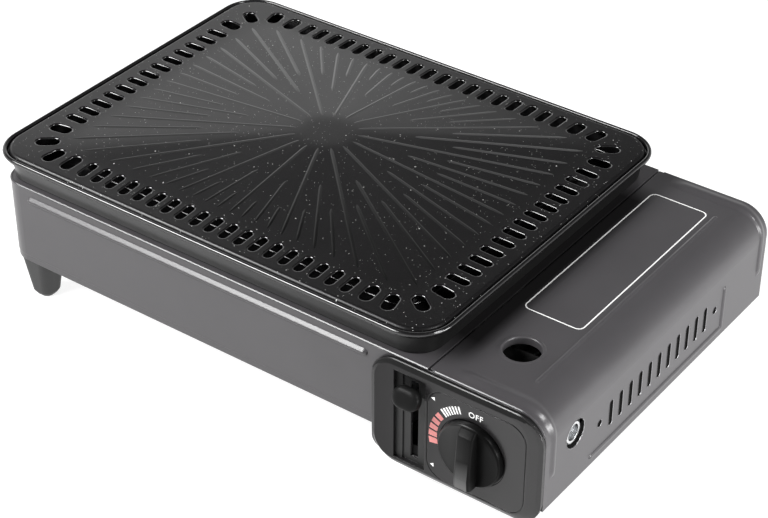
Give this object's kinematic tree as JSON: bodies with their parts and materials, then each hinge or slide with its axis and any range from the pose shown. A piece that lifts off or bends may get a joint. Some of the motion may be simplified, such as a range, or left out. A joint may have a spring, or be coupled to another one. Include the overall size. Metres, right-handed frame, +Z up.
{
  "type": "portable gas grill",
  "caption": "Tabletop cartridge gas grill with a domed, ribbed and slotted plate in a lift-out drip tray, a hinged bay lid, a control knob and a cartridge lever.",
  "frame": {"origin": "on the ground under the middle of the grill's box", "axes": "+X to the right along the grill, from the plate to the cartridge bay; +Y to the back, away from the knob; +Z up"},
  "size_m": [0.4598, 0.2994, 0.1312],
  "materials": {
    "body_paint": "satin grey coat with a fine grain",
    "enamel": "glossy black enamel with pale specks",
    "bay_black": "matt black coat",
    "zinc_sheet": "dull zinc-coated sheet",
    "burner_steel": "dull aluminised tube",
    "plain_steel": "bright drawn steel",
    "bright_screws": "bright plating",
    "chrome_inlet": "polished plating",
    "panel_plastic": "fine-grained black moulding",
    "knob_plastic": "satin black moulding",
    "foot_plastic": "dark grey moulding",
    "cradle_plastic": "dark grey moulding",
    "pad_rubber": "black rubber",
    "cast_alloy": "die-cast, sand-blasted",
    "brass": "turned brass",
    "copper_pipe": "drawn copper",
    "ceramic": "glazed off-white",
    "lead_silicone": "grey silicone"
  },
  "bodies": {
    "housing": {"body_shell": "body_paint", "base_plate": "zinc_sheet", "partition": "zinc_sheet", "bay_floor": "bay_black", "cartridge_bracket": "zinc_sheet", "front_cradle": "cradle_plastic", "rear_cradle": "cradle_plastic", "front_slide_guide": "zinc_sheet", "rear_slide_guide": "zinc_sheet", "control_panel": "panel_plastic", "valve_body": "cast_alloy", "regulator": "cast_alloy", "cartridge_nozzle": "brass", "gas_pipe": "copper_pipe", "jet": "brass", "burner": "burner_steel", "left_saddle": "zinc_sheet", "right_saddle": "zinc_sheet", "electrode": "ceramic", "ignition_lead": "lead_silicone", "piezo_igniter": "ceramic", "gas_inlet": "chrome_inlet", "inlet_pipe": "copper_pipe", "lever_bracket": "zinc_sheet", "lever_pivot": "plain_steel", "front_hinge_pin": "plain_steel", "rear_hinge_pin": "plain_steel", "front_left_foot": "foot_plastic", "rear_left_foot": "foot_plastic", "front_right_foot": "pad_rubber", "rear_right_foot": "pad_rubber", "base_screws": "bright_screws", "panel_screws": "bright_screws", "foot_screws": "bright_screws"},
    "lid": {"lid_shell": "body_paint"},
    "control_knob": {"knob": "knob_plastic", "spindle": "plain_steel"},
    "lever": {"lever_arm": "plain_steel", "lever_cap": "knob_plastic", "crank_pin": "plain_steel"},
    "cartridge_pusher": {"cartridge_slide": "plain_steel"},
    "tray": {"drip_tray": "enamel"},
    "plate": {"grill_plate": "enamel"}
  },
  "joints": [
    {"name": "lid_hinge", "type": "hinge", "parent": "housing", "child": "lid", "pos_m": [0.14522, 0.00635, 0.0946], "axis": [0, -1, 0], "range_deg": [0, 78]},
    {"name": "knob_turn", "type": "hinge", "parent": "housing", "child": "control_knob", "pos_m": [0.17883, -0.13365, 0.051], "axis": [0, -1, 0], "range_deg": [0, 110]},
    {"name": "lever_swing", "type": "hinge", "parent": "housing", "child": "lever", "pos_m": [0.13332, -0.09765, 0.0535], "axis": [1, 0, 0], "range_deg": [0, 52]},
    {"name": "pusher_slide", "type": "slide", "parent": "housing", "child": "cartridge_pusher", "axis": [0, -1, 0], "range_m": [0, 0.009]},
    {"name": "tray_lift", "type": "slide", "parent": "housing", "child": "tray", "axis": [0, 0, 1], "range_m": [0, 0.06]},
    {"name": "plate_lift", "type": "slide", "parent": "tray", "child": "plate", "axis": [0, 0, 1], "range_m": [0, 0.04]}
  ],
  "couplings": [
    {"joint": "pusher_slide", "follows": "lever_swing", "m_per_rad": 0.0099155}
  ]
}
